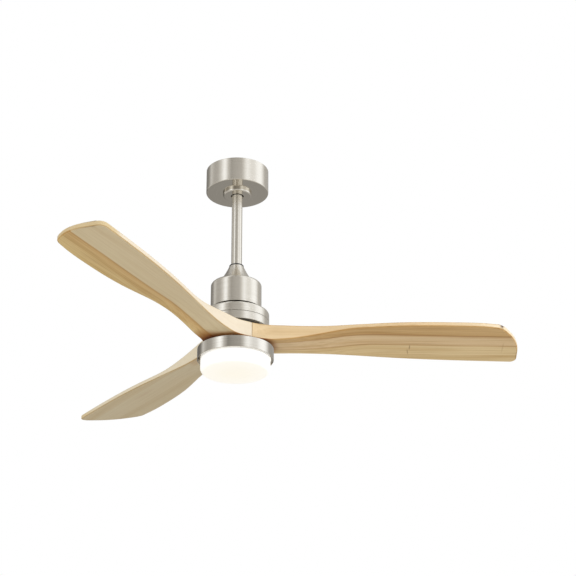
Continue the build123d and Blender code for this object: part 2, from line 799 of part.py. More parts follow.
def build_blade(name, azimuth):
    frame = Plane.XY.rotated((0, 0, azimuth))
    seam_out = polar(root_seam_radius, root_seam_angle)
    seam_in = polar(root_hole_radius, root_seam_angle)
    mirrored_out = (seam_out[0], -seam_out[1])
    mirrored_in = (seam_in[0], -seam_in[1])
    seam_turn = radians(180.0 / blade_count)
    lowered_edge = [(distance, lowered) for distance, lowered, _ in blade_stations]
    raised_edge = [(distance, raised) for distance, _, raised in blade_stations]
    corner_start, corner_end = tip_lowered_corner
    with BuildPart() as blade:
        for step in range(ribbon_count):
            distance = ribbon_start + step * ribbon_step
            place = frame.from_local_coords((distance, 0, 0))
            with BuildSketch(Plane(place, x_dir=frame.y_dir, z_dir=frame.x_dir)):
                Polygon(*ribbon_section(distance), align=None)
        loft()
        with BuildSketch(frame.offset(block_bottom - outline_margin)):
            with BuildLine():
                lowered_side = Spline(
                    seam_out, *lowered_edge, corner_start,
                    tangents=[(sin(seam_turn), -cos(seam_turn)), lowered_end_way],
                    tangent_scalars=way_lengths,
                )
                corner = TangentArc(corner_start, corner_end, tangent=lowered_side % 1)
                Spline(
                    corner_end, *tip_curve,
                    tangents=[corner % 1, tip_end_way],
                    tangent_scalars=way_lengths,
                )
                Spline(
                    tip_curve[-1], *reversed(raised_edge), mirrored_out,
                    tangents=[raised_start_way, (-sin(seam_turn), -cos(seam_turn))],
                    tangent_scalars=way_lengths,
                )
                Line(mirrored_out, mirrored_in)
                CenterArc((0, 0), root_hole_radius, -root_seam_angle, 2 * root_seam_angle)
                Line(seam_in, seam_out)
            make_face()
        extrude(amount=block_top - block_bottom + 2 * outline_margin, mode=Mode.INTERSECT)
        screw_low = block_bottom - outline_margin
        add_posts(all_blade_screws, blade_screw_hole, screw_low, block_top + outline_margin, Mode.SUBTRACT)
    save(blade, name)


for number, azimuth in enumerate(blade_azimuths, start=1):
    build_blade(f"blade_{number}", azimuth)

# Plate that clamps the three roots from below, and the long screws through them.
with BuildPart() as blade_clamp_plate:
    clamp_plate_top = block_bottom - plate_gap
    add_ring(plate_hole_radius, clamp_plate_radius, clamp_plate_bottom, clamp_plate_top)
    add_posts(all_blade_screws, blade_screw_hole, clamp_plate_bottom, clamp_plate_top, Mode.SUBTRACT)
save(blade_clamp_plate, "blade_clamp_plate")

with BuildPart() as blade_screws:
    head_low = clamp_plate_bottom - blade_head_height
    add_posts(all_blade_screws, blade_head_radius, head_low, clamp_plate_bottom)
    fillet(blade_screws.edges().group_by(Axis.Z)[0], blade_head_round)
    add_posts(all_blade_screws, blade_screw_radius, clamp_plate_bottom, rotor_bottom)
save(blade_screws, "blade_screws")

# Collar and nut that clamp the light on the foot of the shaft.
with BuildPart() as light_collar:
    add_ring(shaft_radius + running_gap, light_collar_radius, pan_top, light_collar_top)
save(light_collar, "light_collar")

pan_floor = pan_top - pan_sheet
with BuildPart() as light_nut:
    with BuildSketch(Plane.XY.offset(nut_bottom)):
        RegularPolygon(nut_across_flats / 2, 6, major_radius=False)
        Circle(shaft_radius + running_gap, mode=Mode.SUBTRACT)
    extrude(amount=pan_floor - nut_bottom)
save(light_nut, "light_nut")

# Light pan: the metal ring with its closed top, and ledges inside that hold the diffuser.
with BuildPart() as light_pan:
    add_ring(0, pan_radius, pan_bottom, pan_top)
    fillet(light_pan.faces().sort_by(Axis.Z)[-1].edges(), pan_edge_radius)
    add_ring(0, pan_radius - pan_wall, pan_bottom, pan_floor, Mode.SUBTRACT)
    add_ring(0, shaft_radius + running_gap, pan_floor, pan_top, Mode.SUBTRACT)
    for lug in range(lug_count):
        azimuth = 360.0 * lug / lug_count
        wall_inside = pan_radius - pan_wall + ledge_root
        add_sector(ledge_inner_radius, wall_inside, ledge_angle, azimuth, ledge_low, ledge_high)
        stop_azimuth = azimuth - (ledge_angle + stop_angle) / 2
        add_sector(ledge_inner_radius, wall_inside, stop_angle, stop_azimuth, ledge_low, diffuser_top)
save(light_pan, "light_pan")

# Diffuser: an opal drum with a rounded lower edge and three lugs on its upper rim.
with BuildPart() as diffuser:
    add_ring(0, diffuser_radius, diffuser_bottom, diffuser_top)
    fillet(diffuser.faces().sort_by(Axis.Z)[0].edges(), diffuser_corner)
    offset(amount=-diffuser_wall, openings=diffuser.faces().sort_by(Axis.Z)[-1])
    for lug in range(lug_count):
        azimuth = 360.0 * lug / lug_count
        add_sector(diffuser_radius - lug_root, lug_radius, lug_angle, azimuth, lug_low, diffuser_top)
save(diffuser, "diffuser")

# LED board on posts inside the pan, with its chips, screws and driver.
led_board_bottom = led_board_top - board_thickness
led_post_places = around(led_post_circle, 4, 45)
led_screw_hole = led_screw_radius + running_gap
with BuildPart() as led_standoffs:
    add_posts(led_post_places, led_post_radius, led_board_top, pan_floor)
    hole_top = led_board_top + led_screw_hole_depth
    add_posts(led_post_places, led_screw_hole, led_board_top, hole_top, Mode.SUBTRACT)
save(led_standoffs, "led_standoffs")

with BuildPart() as led_board:
    add_ring(led_board_hole, led_board_radius, led_board_bottom, led_board_top)
    add_posts(led_post_places, led_screw_hole, led_board_bottom, led_board_top, Mode.SUBTRACT)
save(led_board, "led_board")

with BuildPart() as led_chips:
    chip_length, chip_width, chip_height = led_chip_size
    for ring_radius, chip_count in led_rings:
        with BuildSketch(Plane.XY.offset(led_board_bottom - chip_height)):
            with PolarLocations(ring_radius, chip_count):
                Rectangle(chip_length, chip_width)
        extrude(amount=chip_height)
save(led_chips, "led_chips")

with BuildPart() as led_screws:
    add_posts(led_post_places, led_head_radius, led_board_bottom - led_head_height, led_board_bottom)
    add_posts(led_post_places, led_screw_radius, led_board_bottom, led_board_top + led_screw_reach)
save(led_screws, "led_screws")

with BuildPart() as led_driver:
    length, width, depth = led_driver_size
    with BuildSketch(Plane.XY.offset(pan_floor - depth)):
        with Locations((0, led_driver_offset)):
            RectangleRounded(length, width, led_driver_corner)
    extrude(amount=depth)
save(led_driver, "led_driver")

# Supply wires from the receiver down through the rod and the shaft to the light.
with BuildPart() as lead_wires:
    add_posts(around(wire_circle, wire_count, 45), wire_radius, shaft_bottom + wire_stop, wire_top)
save(lead_wires, "lead_wires")
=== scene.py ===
import math

import bmesh
import bpy
from mathutils import Matrix, Vector
from mathutils.geometry import interpolate_bezier


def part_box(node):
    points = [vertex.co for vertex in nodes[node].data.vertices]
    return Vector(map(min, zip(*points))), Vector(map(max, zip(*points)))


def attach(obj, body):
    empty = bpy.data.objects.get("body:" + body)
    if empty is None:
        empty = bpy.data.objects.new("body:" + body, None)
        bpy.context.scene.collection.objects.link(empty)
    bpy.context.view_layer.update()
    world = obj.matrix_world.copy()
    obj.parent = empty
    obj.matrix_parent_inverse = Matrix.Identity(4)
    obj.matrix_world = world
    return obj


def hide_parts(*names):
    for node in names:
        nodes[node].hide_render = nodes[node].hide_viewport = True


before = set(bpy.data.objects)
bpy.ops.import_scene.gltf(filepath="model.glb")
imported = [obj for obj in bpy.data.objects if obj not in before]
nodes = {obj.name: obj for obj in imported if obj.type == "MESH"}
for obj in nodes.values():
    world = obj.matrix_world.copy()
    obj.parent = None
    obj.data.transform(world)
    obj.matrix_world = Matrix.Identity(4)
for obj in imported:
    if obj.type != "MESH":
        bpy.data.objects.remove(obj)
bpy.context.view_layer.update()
print("frame loaded,", len(nodes), "nodes")


def mm(value):
    return value * 0.001


def inMm(value):
    return value * 1000


def linear(hexColour):
    channels = [int(hexColour[at:at + 2], 16) / 255 for at in (0, 2, 4)]
    bright = [c / 12.92 if c <= 0.04045 else ((c + 0.055) / 1.055) ** 2.4 for c in channels]
    return (*bright, 1.0)


def addNode(tree, kind, inputs=None, stops=None, **settings):
    node = tree.nodes.new(kind)
    for name, value in settings.items():
        setattr(node, name, value)
    for key, value in (inputs or {}).items():
        if isinstance(value, bpy.types.NodeSocket):
            tree.links.new(value, node.inputs[key])
        else:
            node.inputs[key].default_value = value
    if stops:
        ramp = node.color_ramp
        while len(ramp.elements) < len(stops):
            ramp.elements.new(1.0)
        for element, (place, colour) in zip(ramp.elements, stops):
            element.position = place
            element.color = colour
    return node


def newMaterial(name):
    material = bpy.data.materials.new(name)
    material.use_nodes = True
    tree = material.node_tree
    return material, tree, tree.nodes["Principled BSDF"].inputs


# Most values of a noise texture lie between these
noiseLow, noiseHigh = 0.3, 0.7


def brushedNickel(name, smooth, rough, stretch, metallic):
    # Nickel plate on turned steel, brushed round its axis: a warm grey mirror that stays sharp along
    # the brush lines and blurs across them. Satin parts are less metallic, which softens the contrast.
    # The real lines are about 0.2 mm apart, drawn coarser so they show.
    look = {"pale": "dbd5c9", "dark": "d0c9bc", "lineMm": 0.9, "streakMm": 60.0, "liftMm": 0.004,
            "bump": 0.1, "quarterTurn": 0.25}   # the blur lies a quarter turn from the brush lines
    material, tree, surface = newMaterial(name)
    place = addNode(tree, "ShaderNodeTexCoord").outputs["Object"]
    flat = addNode(tree, "ShaderNodeVectorMath", {0: place, 1: (1, 1, 0)}, operation="MULTIPLY")
    reach = addNode(tree, "ShaderNodeVectorMath", {0: flat.outputs[0]}, operation="LENGTH")
    axes = addNode(tree, "ShaderNodeSeparateXYZ", {0: place}).outputs
    rise = addNode(tree, "ShaderNodeMath", {0: axes["Z"], 1: reach.outputs["Value"]}, operation="ADD")
    hoops = addNode(tree, "ShaderNodeCombineXYZ", {"X": axes["X"], "Y": axes["Y"], "Z": rise.outputs[0]})
    fine = (1 / mm(look["streakMm"]), 1 / mm(look["streakMm"]), 1 / mm(look["lineMm"]))
    lines = addNode(tree, "ShaderNodeVectorMath", {0: hoops.outputs[0], 1: fine}, operation="MULTIPLY")
    brush = addNode(tree, "ShaderNodeTexNoise", {"Vector": lines.outputs[0], "Scale": 1.0, "Detail": 3.0})
    colour = addNode(tree, "ShaderNodeValToRGB", {0: brush.outputs["Fac"]},
                     stops=[(noiseLow, linear(look["dark"])), (noiseHigh, linear(look["pale"]))])
    blur = addNode(tree, "ShaderNodeMapRange", {"Value": brush.outputs["Fac"], "From Min": noiseLow,
                                                "From Max": noiseHigh, "To Min": smooth, "To Max": rough})
    relief = addNode(tree, "ShaderNodeBump", {"Height": brush.outputs["Fac"], "Strength": look["bump"],
                                              "Distance": mm(look["liftMm"])})
    around = addNode(tree, "ShaderNodeVectorMath", {0: (0, 0, 1), 1: flat.outputs[0]},
                     operation="CROSS_PRODUCT")
    brushWay = addNode(tree, "ShaderNodeVectorTransform", {0: around.outputs[0]}, vector_type="VECTOR",
                       convert_from="OBJECT", convert_to="WORLD")
    surface["Metallic"].default_value = metallic
    surface["Anisotropic"].default_value = stretch
    surface["Anisotropic Rotation"].default_value = look["quarterTurn"]
    tree.links.new(brushWay.outputs[0], surface["Tangent"])
    tree.links.new(colour.outputs[0], surface["Base Color"])
    tree.links.new(blur.outputs[0], surface["Roughness"])
    tree.links.new(relief.outputs[0], surface["Normal"])
    return material


def speckled(name, pale, dark, grainMm, smooth, rough, metallic=0.0, liftMm=0.02, bump=0.3):
    # A plain finish with the fine mottling that coating, plating or moulding leaves.
    material, tree, surface = newMaterial(name)
    place = addNode(tree, "ShaderNodeTexCoord").outputs["Object"]
    grain = addNode(tree, "ShaderNodeTexNoise", {"Vector": place, "Scale": 1 / mm(grainMm), "Detail": 4.0})
    colour = addNode(tree, "ShaderNodeValToRGB", {0: grain.outputs["Fac"]},
                     stops=[(noiseLow, linear(dark)), (noiseHigh, linear(pale))])
    blur = addNode(tree, "ShaderNodeMapRange", {"Value": grain.outputs["Fac"], "From Min": noiseLow,
                                                "From Max": noiseHigh, "To Min": smooth, "To Max": rough})
    relief = addNode(tree, "ShaderNodeBump", {"Height": grain.outputs["Fac"], "Strength": bump,
                                              "Distance": mm(liftMm)})
    surface["Metallic"].default_value = metallic
    tree.links.new(colour.outputs[0], surface["Base Color"])
    tree.links.new(blur.outputs[0], surface["Roughness"])
    tree.links.new(relief.outputs[0], surface["Normal"])
    return material


def opalAcrylic():
    # Opal acrylic drum with the lamp on: an even white glow, a touch creamier and less bright underneath.
    look = {"white": "fbfaf7", "cream": "f6f1e4", "glow": 0.38, "cloudMm": 30.0, "roughness": 0.35,
            "fadeInner": mm(20), "fadeHeight": mm(14),
            "riseShare": 0.6, "spreadShare": 0.5, "cloudShare": 0.12}   # what whitens the cream, and how much
    material, tree, surface = newMaterial("opal acrylic")
    place = addNode(tree, "ShaderNodeTexCoord").outputs["Object"]
    cloud = addNode(tree, "ShaderNodeTexNoise", {"Vector": place, "Scale": 1 / mm(look["cloudMm"]),
                                                 "Detail": 2.0})
    height = addNode(tree, "ShaderNodeSeparateXYZ", {0: place}).outputs["Z"]
    flat = addNode(tree, "ShaderNodeVectorMath", {0: place, 1: (1, 1, 0)}, operation="MULTIPLY")
    reach = addNode(tree, "ShaderNodeVectorMath", {0: flat.outputs[0]}, operation="LENGTH")
    low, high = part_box("diffuser")
    rise = addNode(tree, "ShaderNodeMapRange", {"Value": height, "From Min": low.z,
                                                "From Max": low.z + look["fadeHeight"],
                                                "To Max": look["riseShare"]})
    spread = addNode(tree, "ShaderNodeMapRange", {"Value": reach.outputs["Value"],
                                                  "From Min": look["fadeInner"], "From Max": high.x,
                                                  "To Max": look["spreadShare"]})
    fade = addNode(tree, "ShaderNodeMath", {0: rise.outputs[0], 1: spread.outputs[0]}, operation="ADD")
    drift = addNode(tree, "ShaderNodeMath", {0: cloud.outputs["Fac"], 1: look["cloudShare"],
                                             2: fade.outputs[0]}, operation="MULTIPLY_ADD")
    colour = addNode(tree, "ShaderNodeValToRGB", {0: drift.outputs[0]},
                     stops=[(0.0, linear(look["cream"])), (1.0, linear(look["white"]))])
    surface["Roughness"].default_value = look["roughness"]
    surface["Emission Strength"].default_value = look["glow"]
    tree.links.new(colour.outputs[0], surface["Base Color"])
    tree.links.new(colour.outputs[0], surface["Emission Color"])
    return material


woodLook = {
    "acrossReachMm": 100.0,   # the staves are laid out from this far on one side to this far on the other
    "grainAcrossMm": 2.4, "grainAlongMm": 170.0,
    "figureAcrossMm": 17.0, "figureAlongMm": 420.0,
    "streaks": [(0.28, "dfd7c9"), (0.5, "f6f3ee"), (0.72, "ffffff")],
    "bands": [(0.3, "eadfcb"), (0.52, "fbf9f5"), (0.75, "ffffff")],
    "wanderMm": 4.0, "wanderAlongMm": 230.0,
    "driftFromMm": 330.0, "driftToMm": 190.0,   # between these a stave may run askew towards the hub
    "edgeGrain": 0.45,        # how much of the grain still shows on the edges
    "arris": "e9dbc3",        # darker along the lower arris
    "hub": "c0905c", "hubShadeFromMm": 104.0, "hubShadeToMm": 80.0,   # painted shade: undersides darken towards this brown between these distances, round the light ring under the hub
    "markCore": 0.3,          # inside this share of its size a knot or check has its full depth
    "smooth": 0.42, "rough": 0.58, "liftMm": 0.25, "bump": 0.2,
}


def paleWood(name, azimuth, timber):
    # Solid pale pine, glued up from staves, planed and finished with clear matt lacquer:
    # straight fine grain along the blade, each stave its own tint, a thin brown line at a joint.
    # Painted shade darkens the undersides round the hub, where the light ring sits close below.
    look = woodLook
    material, tree, surface = newMaterial(name)
    place = addNode(tree, "ShaderNodeTexCoord").outputs["Object"]
    turned = addNode(tree, "ShaderNodeMapping", {"Vector": place, "Rotation": (0, 0, -math.radians(azimuth))})
    axes = addNode(tree, "ShaderNodeSeparateXYZ", {0: turned.outputs[0]}).outputs
    slow = (1 / mm(look["wanderAlongMm"]),) * 3
    slowPlace = addNode(tree, "ShaderNodeVectorMath", {0: turned.outputs[0], 1: slow}, operation="MULTIPLY")
    wander = addNode(tree, "ShaderNodeTexNoise", {"Vector": slowPlace.outputs[0], "Scale": 1.0,
                                                  "Detail": 1.0})
    swayMost = mm(look["wanderMm"])
    sway = addNode(tree, "ShaderNodeMapRange", {"Value": wander.outputs["Fac"], "To Min": -swayMost,
                                                "To Max": swayMost})
    swung = addNode(tree, "ShaderNodeMath", {0: axes["Y"], 1: sway.outputs[0]}, operation="ADD")
    askew = addNode(tree, "ShaderNodeMapRange", {"Value": axes["X"], "From Min": mm(look["driftFromMm"]),
                                                 "From Max": mm(look["driftToMm"]),
                                                 "To Max": mm(timber["drift"])},
                    interpolation_type="SMOOTHSTEP")
    across = addNode(tree, "ShaderNodeMath", {0: swung.outputs[0], 1: askew.outputs[0]},
                     operation="SUBTRACT").outputs[0]
    reach = look["acrossReachMm"]
    share = addNode(tree, "ShaderNodeMapRange", {"Value": across, "From Min": -mm(reach),
                                                 "From Max": mm(reach)})
    stops = [((acrossMm + reach) / (2 * reach), (*linear(tint)[:3], grainShare))
             for acrossMm, tint, grainShare in timber["staves"]]
    stave = addNode(tree, "ShaderNodeValToRGB", {0: share.outputs[0]}, stops=stops)
    swayed = addNode(tree, "ShaderNodeCombineXYZ", {"X": axes["X"], "Y": across, "Z": axes["Z"]})
    layers = []
    for acrossMm, alongMm, detail in (
        (look["grainAcrossMm"], look["grainAlongMm"], 3.0),
        (look["figureAcrossMm"], look["figureAlongMm"], 1.0),
    ):
        fine = (1 / mm(alongMm), 1 / mm(acrossMm), 1 / mm(acrossMm))
        stretched = addNode(tree, "ShaderNodeVectorMath", {0: swayed.outputs[0], 1: fine},
                            operation="MULTIPLY")
        layers.append(addNode(tree, "ShaderNodeTexNoise", {"Vector": stretched.outputs[0], "Scale": 1.0,
                                                           "Detail": detail}).outputs["Fac"])
    grain, figure = layers
    streaks = addNode(tree, "ShaderNodeValToRGB", {0: grain},
                      stops=[(at, linear(tint)) for at, tint in look["streaks"]])
    bands = addNode(tree, "ShaderNodeValToRGB", {0: figure},
                    stops=[(at, linear(tint)) for at, tint in look["bands"]])
    edgeShare = addNode(tree, "ShaderNodeAttribute", attribute_name="edgeShare").outputs["Fac"]
    arrisShare = addNode(tree, "ShaderNodeAttribute", attribute_name="arrisShare").outputs["Fac"]
    edgeFade = addNode(tree, "ShaderNodeMapRange", {"Value": edgeShare, "To Min": 1.0,
                                                    "To Max": look["edgeGrain"]})
    grainShare = addNode(tree, "ShaderNodeMath", {0: edgeFade.outputs[0], 1: stave.outputs["Alpha"]},
                         operation="MULTIPLY")
    flat = addNode(tree, "ShaderNodeVectorMath", {0: place, 1: (1, 1, 0)}, operation="MULTIPLY")
    outward = addNode(tree, "ShaderNodeVectorMath", {0: flat.outputs[0]}, operation="LENGTH")
    # painted shade: the undersides darken towards the hub, over the light ring
    nearHubShade = addNode(tree, "ShaderNodeMapRange", {"Value": outward.outputs["Value"],
                                                   "From Min": mm(look["hubShadeFromMm"]),
                                                   "From Max": mm(look["hubShadeToMm"])},
                      interpolation_type="SMOOTHSTEP")
    underShare = addNode(tree, "ShaderNodeAttribute", attribute_name="underShare").outputs["Fac"]
    hubShadeShare = addNode(tree, "ShaderNodeMath", {0: nearHubShade.outputs[0], 1: underShare}, operation="MULTIPLY")
    nearTip = addNode(tree, "ShaderNodeMapRange", {"Value": axes["X"], "From Min": mm(timber["tipFrom"]),
                                                   "From Max": mm(timber["tipTo"])})
    # The planed edges take a paler, creamier tint, partly their own and partly a painted sheen of the lamps
    # on the lacquer
    edge = addNode(tree, "ShaderNodeMix", {0: nearTip.outputs[0], 6: linear(timber["edge"]),
                                           7: linear(timber["edgeTip"])}, data_type="RGBA")
    planed = addNode(tree, "ShaderNodeMix", {0: edgeShare, 6: stave.outputs[0], 7: edge.outputs[2]},
                     data_type="RGBA")
    colour = planed.outputs[2]
    for strength, layer in (
        (grainShare.outputs[0], streaks.outputs[0]),
        (grainShare.outputs[0], bands.outputs[0]),
        (arrisShare, linear(look["arris"])),
    ):
        darkened = addNode(tree, "ShaderNodeMix", {0: strength, 6: colour, 7: layer}, data_type="RGBA",
                           blend_type="MULTIPLY")
        colour = darkened.outputs[2]
    for mark in timber["marks"]:
        centre = (mm(mark["along"]), mm(mark["across"]), mm(mark.get("height", 0)))
        upright = 1 / mm(mark["width"]) if "height" in mark else 0
        stretch = (1 / mm(mark["length"]), 1 / mm(mark["width"]), upright)
        shifted = addNode(tree, "ShaderNodeVectorMath", {0: turned.outputs[0], 1: centre},
                          operation="SUBTRACT")
        leant = addNode(tree, "ShaderNodeMapping", {"Vector": shifted.outputs[0],
                                                    "Rotation": (0, 0, math.radians(mark["lean"]))})
        scaled = addNode(tree, "ShaderNodeVectorMath", {0: leant.outputs[0], 1: stretch},
                         operation="MULTIPLY")
        away = addNode(tree, "ShaderNodeVectorMath", {0: scaled.outputs[0]}, operation="LENGTH")
        spot = addNode(tree, "ShaderNodeMapRange", {"Value": away.outputs["Value"], "From Min": 1.0,
                                                    "From Max": look["markCore"], "To Max": mark["depth"]})
        strength = spot.outputs[0]
        if mark.get("under"):
            strength = addNode(tree, "ShaderNodeMath", {0: strength, 1: underShare},
                               operation="MULTIPLY").outputs[0]
        marked = addNode(tree, "ShaderNodeMix", {0: strength, 6: colour, 7: linear(mark["tint"])},
                         data_type="RGBA")
        colour = marked.outputs[2]
    # the painted hub shade goes on last, so it darkens the marks there too
    shaded = addNode(tree, "ShaderNodeMix", {0: hubShadeShare.outputs[0], 6: colour, 7: linear(look["hub"])},
                     data_type="RGBA", blend_type="MULTIPLY")
    blur = addNode(tree, "ShaderNodeMapRange", {"Value": grain, "From Min": noiseLow, "From Max": noiseHigh,
                                                "To Min": look["rough"], "To Max": look["smooth"]})
    relief = addNode(tree, "ShaderNodeBump", {"Height": grain, "Strength": look["bump"],
                                              "Distance": mm(look["liftMm"])})
    tree.links.new(shaded.outputs[2], surface["Base Color"])
    tree.links.new(blur.outputs[0], surface["Roughness"])
    tree.links.new(relief.outputs[0], surface["Normal"])
    return material


nickel = brushedNickel("brushed satin nickel", smooth=0.16, rough=0.2, stretch=0.88, metallic=0.8)
brightNickel = brushedNickel("fine brushed bright nickel", smooth=0.09, rough=0.13, stretch=0.9, metallic=1.0)
polishedNickel = brushedNickel("polished nickel", smooth=0.04, rough=0.06, stretch=0.5, metallic=1.0)
opal = opalAcrylic()
finishes = {
    "brushed_nickel": nickel,
    "opal_acrylic": opal,
    # Zinc plate on steel: cool grey, faintly spangled
    "zinc_steel": speckled("zinc plated steel", pale="c4c7c9", dark="a9adb0", grainMm=1.6,
                           smooth=0.28, rough=0.42, metallic=1.0),
    # Ground bearing steel: bright and smooth
    "bearing_steel": speckled("ground bearing steel", pale="c9cbce", dark="b4b7ba", grainMm=0.8,
                              smooth=0.12, rough=0.2, metallic=1.0, liftMm=0.005),
    # Black powder coat: a fine orange peel
    "black_steel": speckled("black powder coat", pale="2a2724", dark="1a1816", grainMm=0.9,
                            smooth=0.5, rough=0.65),
    # Moulded matt plastic: spark-eroded texture
    "black_plastic": speckled("moulded matt plastic", pale="2b2b2d", dark="1f1f21", grainMm=0.7,
                              smooth=0.45, rough=0.6),
    # Coated laminations: dark grey, slightly blotched
    "stator_steel": speckled("coated lamination steel", pale="6d6e71", dark="55565a", grainMm=2.0,
                             smooth=0.45, rough=0.6, metallic=0.6),
    # Enamelled copper wire: orange metal under gloss lacquer, drawn as broad turns
    "copper": speckled("enamelled copper wire", pale="d08a55", dark="a5602f", grainMm=1.2,
                       smooth=0.22, rough=0.38, metallic=1.0),
    # Solder mask over glass fibre: green, with a faint weave
    "circuit_board": speckled("green solder mask", pale="1f6b3d", dark="17522e", grainMm=1.0,
                              smooth=0.28, rough=0.4),
    # White solder mask on the lamp board
    "white_board": speckled("white solder mask", pale="f2f2ef", dark="e2e2de", grainMm=1.0,
                            smooth=0.3, rough=0.45),
    # Silicone over yellow phosphor
    "led_phosphor": speckled("phosphor under silicone", pale="f3d675", dark="e3bd4d", grainMm=0.5,
                             smooth=0.2, rough=0.35),
    # PVC sheath on the leads
    "wire_sheath": speckled("PVC wire sheath", pale="e4e4e1", dark="cfcfca", grainMm=1.5,
                            smooth=0.4, rough=0.55),
}
print("finishes made,", len(finishes))


sharpAngle = math.radians(50)   # edges that turn by more than this stay crisp


def newPiece(name, bm, material, body, slot, *stoodFor):
    mesh = bpy.data.meshes.new(name)
    bm.to_mesh(mesh)
    bm.free()
    mesh.shade_smooth()
    mesh.set_sharp_from_angle(angle=sharpAngle)
    mesh.materials.append(material)
    piece = bpy.data.objects.new(name, mesh)
    bpy.context.scene.collection.objects.link(piece)
    evened = piece.modifiers.new("even normals", "WEIGHTED_NORMAL")
    evened.keep_sharp = True
    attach(piece, body)
    if stoodFor:
        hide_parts(*stoodFor)
    return piece


# Round pieces are outlines of (radius, height) spun about the fan's axis.
spinSteps = 160
sectorSteps = 10
mergeDistance = mm(0.002)
ringSlack = mm(0.01)   # how far from its given corner a ring of edges may lie


def spun(outline, closed=True):
    bm = bmesh.new()
    corners = [bm.verts.new((radius, 0, height)) for radius, height in outline]
    pairs = list(zip(corners, corners[1:]))
    if closed:
        pairs.append((corners[-1], corners[0]))
    edges = [bm.edges.new(pair) for pair in pairs]
    bmesh.ops.spin(bm, geom=corners + edges, cent=(0, 0, 0), axis=(0, 0, 1), angle=2 * math.pi,
                   steps=spinSteps, use_merge=True)
    bmesh.ops.remove_doubles(bm, verts=bm.verts, dist=mergeDistance)
    bmesh.ops.recalc_face_normals(bm, faces=bm.faces)
    return bm


def roundRing(bm, corner, width, segments=4):
    radius, height = corner
    ring = [edge for edge in bm.edges if all(
        abs(math.hypot(vert.co.x, vert.co.y) - radius) < ringSlack and abs(vert.co.z - height) < ringSlack
        for vert in edge.verts)]
    bmesh.ops.bevel(bm, geom=ring, offset=width, offset_type="OFFSET", segments=segments, profile=0.5,
                    affect="EDGES", material=-1)


def addSector(bm, inner, outer, low, high, firstAzimuth, angle):
    corners = [(inner, low), (outer, low), (outer, high), (inner, high)]
    verts = [bm.verts.new((radius, 0, height)) for radius, height in corners]
    face = bm.faces.new(verts)
    bmesh.ops.rotate(bm, verts=verts, matrix=Matrix.Rotation(math.radians(firstAzimuth), 3, "Z"))
    bmesh.ops.spin(bm, geom=[face] + list(face.edges) + verts, cent=(0, 0, 0), axis=(0, 0, 1),
                   angle=math.radians(angle), steps=sectorSteps)


def nodeSpan(name):
    low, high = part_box(name)
    return high.x, low.z, high.z


# Canopy: a deep cup with a rounded lower rim
canopyCup = {"wall": mm(1.2), "rimRound": mm(2.0), "hole": mm(18.0), "edgeBreak": mm(0.3),
             "polishedBelow": -0.9}
radius, bottom, top = nodeSpan("canopy")
wall, hole = canopyCup["wall"], canopyCup["hole"]
bm = spun([(hole, bottom), (radius, bottom), (radius, top), (radius - wall, top),
           (radius - wall, bottom + wall), (hole, bottom + wall)])
roundRing(bm, (radius, bottom), canopyCup["rimRound"], segments=6)
roundRing(bm, (radius, top), canopyCup["edgeBreak"], segments=2)
shell = newPiece("canopy_shell", bm, nickel, "ceiling_mount", "brushed_nickel", "canopy")
shell.data.materials.append(polishedNickel)
for face in shell.data.polygons:
    face.material_index = 1 if face.normal.z < canopyCup["polishedBelow"] else 0

# Cover disc that hides the canopy's screws
coverCup = {"wall": mm(1.0), "rimRound": mm(3.5), "hole": mm(15.4), "edgeBreak": mm(0.25)}
radius, bottom, top = nodeSpan("canopy_cover")
wall, hole = coverCup["wall"], coverCup["hole"]
bm = spun([(hole, bottom), (radius, bottom), (radius, top), (radius - wall, top),
           (radius - wall, bottom + wall), (hole, bottom + wall)])
roundRing(bm, (radius, bottom), coverCup["rimRound"], segments=8)
roundRing(bm, (hole, bottom), coverCup["edgeBreak"], segments=2)
newPiece("canopy_cover_disc", bm, polishedNickel, "ceiling_mount", "brushed_nickel", "canopy_cover")

# Rod
rodTube = {"bore": mm(10.5), "edgeBreak": mm(0.4)}
radius, bottom, top = nodeSpan("downrod")
bore = rodTube["bore"]
bm = spun([(bore, bottom), (radius, bottom), (radius, top), (bore, top)])
roundRing(bm, (radius, top), rodTube["edgeBreak"], segments=2)
roundRing(bm, (radius, bottom), rodTube["edgeBreak"], segments=2)
newPiece("rod_tube", bm, nickel, "hanging_frame", "brushed_nickel", "downrod")


def arcThrough(start, middle, end, count):
    # Points on the circle through three points, from the first to the last.
    ax, ay = start
    bx, by = middle
    cx, cy = end
    double = 2 * (ax * (by - cy) + bx * (cy - ay) + cx * (ay - by))
    sizes = [x * x + y * y for x, y in (start, middle, end)]
    ux = (sizes[0] * (by - cy) + sizes[1] * (cy - ay) + sizes[2] * (ay - by)) / double
    uy = (sizes[0] * (cx - bx) + sizes[1] * (ax - cx) + sizes[2] * (bx - ax)) / double
    centre = Vector((ux, uy))
    first, last = Vector(start) - centre, Vector(end) - centre
    turn = first.angle_signed(last)
    return [tuple(centre + Matrix.Rotation(-turn * step / count, 2) @ first) for step in range(count + 1)]


# Cone over the coupling: thin sheet, slightly hollow-sided
coneSheet = {"hole": mm(14.0), "topRadius": mm(16.8), "middleRadius": mm(27.2), "middleDrop": mm(21.5),
             "wall": mm(1.4), "rimRound": mm(0.8), "arcSteps": 16}
radius, bottom, top = nodeSpan("yoke_cover")
wall, hole = coneSheet["wall"], coneSheet["hole"]
middle = (coneSheet["middleRadius"], top - coneSheet["middleDrop"])
outside = arcThrough((coneSheet["topRadius"], top), middle, (radius, bottom), coneSheet["arcSteps"])
inside = arcThrough((hole + wall, top - wall), (middle[0] - wall, middle[1]), (radius - wall, bottom),
                    coneSheet["arcSteps"])
bm = spun([(hole, top)] + outside + inside[::-1] + [(hole, top - wall)])
roundRing(bm, (coneSheet["topRadius"], top), coneSheet["rimRound"], segments=3)
newPiece("cone_cover", bm, nickel, "hanging_frame", "brushed_nickel", "yoke_cover")
